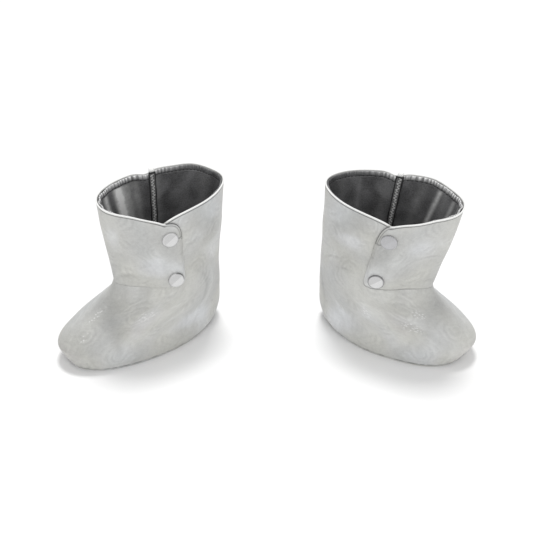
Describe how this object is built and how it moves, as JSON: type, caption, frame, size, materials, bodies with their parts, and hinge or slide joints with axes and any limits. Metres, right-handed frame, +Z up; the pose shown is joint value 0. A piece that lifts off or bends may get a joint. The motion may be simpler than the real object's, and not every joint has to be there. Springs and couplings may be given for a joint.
{
  "type": "pair of boot covers",
  "caption": "Pair of soft lined boot covers, each a hollow bootee with an open top and a wrap-over front flap closed by snaps on the inner side.",
  "frame": {"origin": "middle of the pair's box, on the floor", "axes": "+X along the row of the two covers, from the one on the left in the picture to the one on the right, -Y towards the viewer, +Z up"},
  "size_m": [0.3762, 0.1162, 0.1506],
  "materials": {
    "plush": "pale grey low plush with a soft rosette nap",
    "satin": "dark grey satin lining, softly creased",
    "overlock": "overlocked seam edge in dark and light grey thread",
    "stud": "pale pearly snap cap"
  },
  "bodies": {
    "root": {"left_foot_and_heel": "plush", "left_front_flap": "plush", "left_sole": "plush", "left_foot_and_heel_lining": "satin", "left_front_flap_lining": "satin", "left_sole_lining": "satin", "left_side_seam": "overlock", "left_upper_snap": "stud", "left_lower_snap": "stud", "left_upper_snap_back": "stud", "left_lower_snap_back": "stud", "right_foot_and_heel": "plush", "right_front_flap": "plush", "right_sole": "plush", "right_foot_and_heel_lining": "satin", "right_front_flap_lining": "satin", "right_sole_lining": "satin", "right_side_seam": "overlock", "right_upper_snap": "stud", "right_lower_snap": "stud", "right_upper_snap_back": "stud", "right_lower_snap_back": "stud"}
  },
  "joints": []
}
